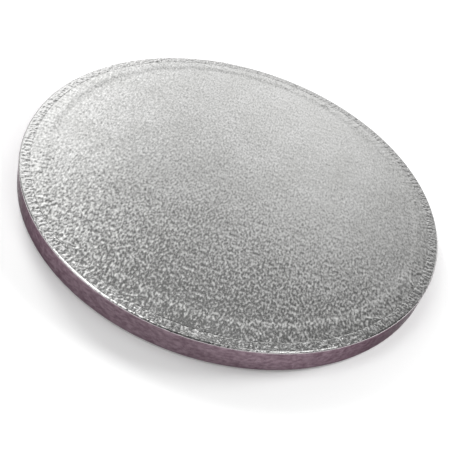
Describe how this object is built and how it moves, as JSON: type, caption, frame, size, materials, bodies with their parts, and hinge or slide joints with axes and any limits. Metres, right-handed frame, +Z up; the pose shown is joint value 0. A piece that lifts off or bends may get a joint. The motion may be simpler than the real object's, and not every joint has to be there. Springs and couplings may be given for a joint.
{
  "type": "cake board",
  "caption": "Round thick cake board: a board disc with a foil strip wrapped and pleated round its edge, a foil disc on top and plain paper underneath.",
  "frame": {"origin": "centre of the underside, on the surface that the board lies on", "axes": "+Z up through the board's thickness, out of the covered face that a cake stands on"},
  "size_m": [0.2032, 0.2032, 0.0132],
  "materials": {
    "grey_board": "matt board, hidden inside",
    "mauve_foil": "satin foil on paper, smooth on the wall and pleated on the margins",
    "silver_foil": "bright foil on paper with a fine embossed grain",
    "plain_paper": "plain matt paper"
  },
  "bodies": {
    "root": {"base_paper": "plain_paper", "core_board": "grey_board", "edge_wrap": "mauve_foil", "top_foil": "silver_foil"}
  },
  "joints": []
}
